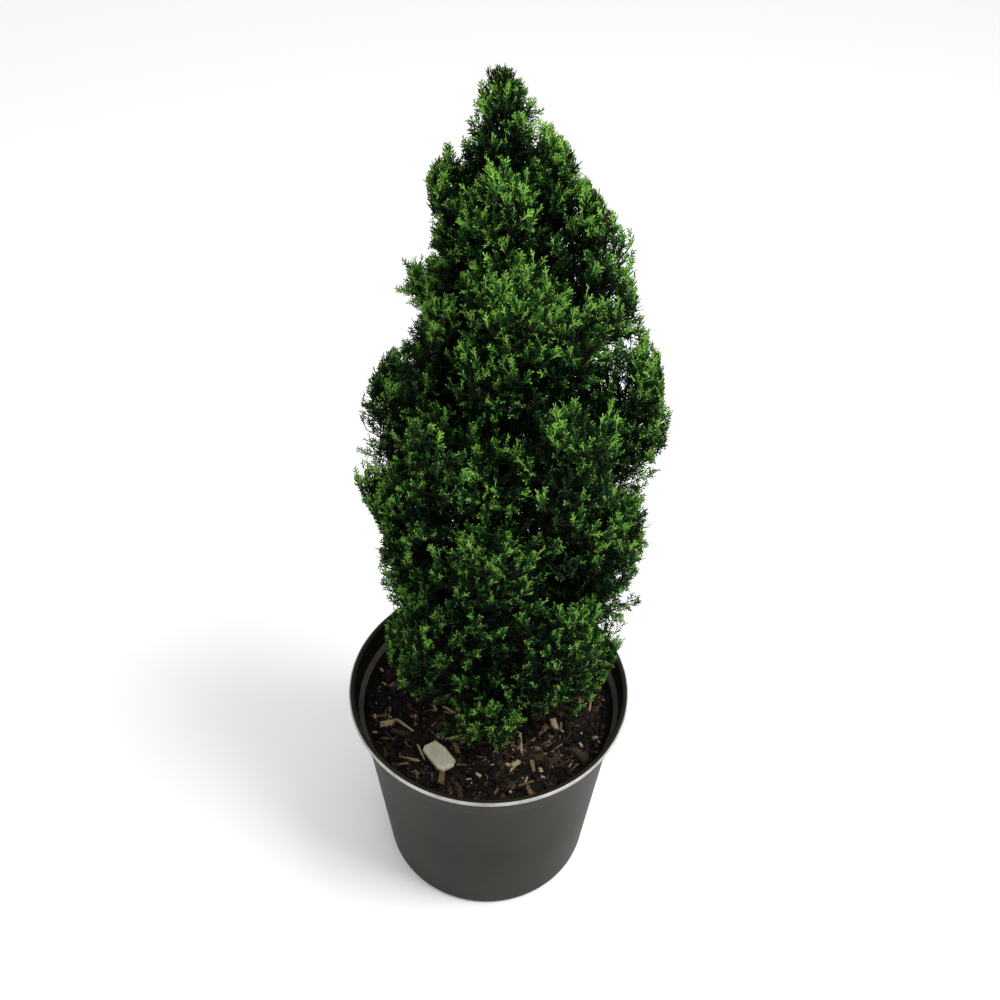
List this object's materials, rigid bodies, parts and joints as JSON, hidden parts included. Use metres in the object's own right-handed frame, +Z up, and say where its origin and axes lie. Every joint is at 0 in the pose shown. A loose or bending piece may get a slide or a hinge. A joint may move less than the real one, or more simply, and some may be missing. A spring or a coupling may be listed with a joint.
{
  "type": "potted lawson cypress",
  "caption": "Pillar-shaped dwarf conifer with dense upright sprays of fine foliage, standing in a round nursery pot of bark compost.",
  "frame": {"origin": "centre of the pot's flat underside", "axes": "+Z up along the plant, +X to the right in the picture, which looks along +Y and down"},
  "size_m": [0.2863, 0.28, 0.856],
  "materials": {
    "pot_plastic": "dark taupe moulded plastic, semi-gloss",
    "compost": "moist bark compost",
    "pale_wood": "weathered pale wood",
    "bark": "red-brown young bark",
    "foliage": "fine green scale foliage, bright at the tips"
  },
  "bodies": {
    "root": {"pot": "pot_plastic", "compost": "compost", "pale_chip": "pale_wood", "trunk": "bark", "bough_low_1": "bark", "bough_low_2": "bark", "bough_low_3": "bark", "bough_low_4": "bark", "bough_low_5": "bark", "bough_middle_1": "bark", "bough_middle_2": "bark", "bough_middle_3": "bark", "bough_middle_4": "bark", "bough_middle_5": "bark", "bough_middle_6": "bark", "bough_high_1": "bark", "bough_high_2": "bark", "bough_high_3": "bark", "bough_high_4": "bark", "bough_high_5": "bark", "bough_high_6": "bark", "bough_shoulder_1": "bark", "bough_shoulder_2": "bark", "bough_shoulder_3": "bark", "bough_shoulder_4": "bark", "bough_shoulder_5": "bark", "bough_side": "bark", "foliage_skirt_1": "foliage", "foliage_skirt_2": "foliage", "foliage_skirt_3": "foliage", "foliage_skirt_4": "foliage", "foliage_skirt_5": "foliage", "foliage_low_1": "foliage", "foliage_low_2": "foliage", "foliage_low_3": "foliage", "foliage_low_4": "foliage", "foliage_low_5": "foliage", "foliage_middle_1": "foliage", "foliage_middle_2": "foliage", "foliage_middle_3": "foliage", "foliage_middle_4": "foliage", "foliage_middle_5": "foliage", "foliage_middle_6": "foliage", "foliage_high_1": "foliage", "foliage_high_2": "foliage", "foliage_high_3": "foliage", "foliage_high_4": "foliage", "foliage_high_5": "foliage", "foliage_high_6": "foliage", "foliage_shoulder_1": "foliage", "foliage_shoulder_2": "foliage", "foliage_shoulder_3": "foliage", "foliage_shoulder_4": "foliage", "foliage_shoulder_5": "foliage", "foliage_crest_1": "foliage", "foliage_crest_2": "foliage", "foliage_crest_3": "foliage", "foliage_crest_4": "foliage", "foliage_leader": "foliage", "foliage_side_spray": "foliage"}
  },
  "joints": []
}
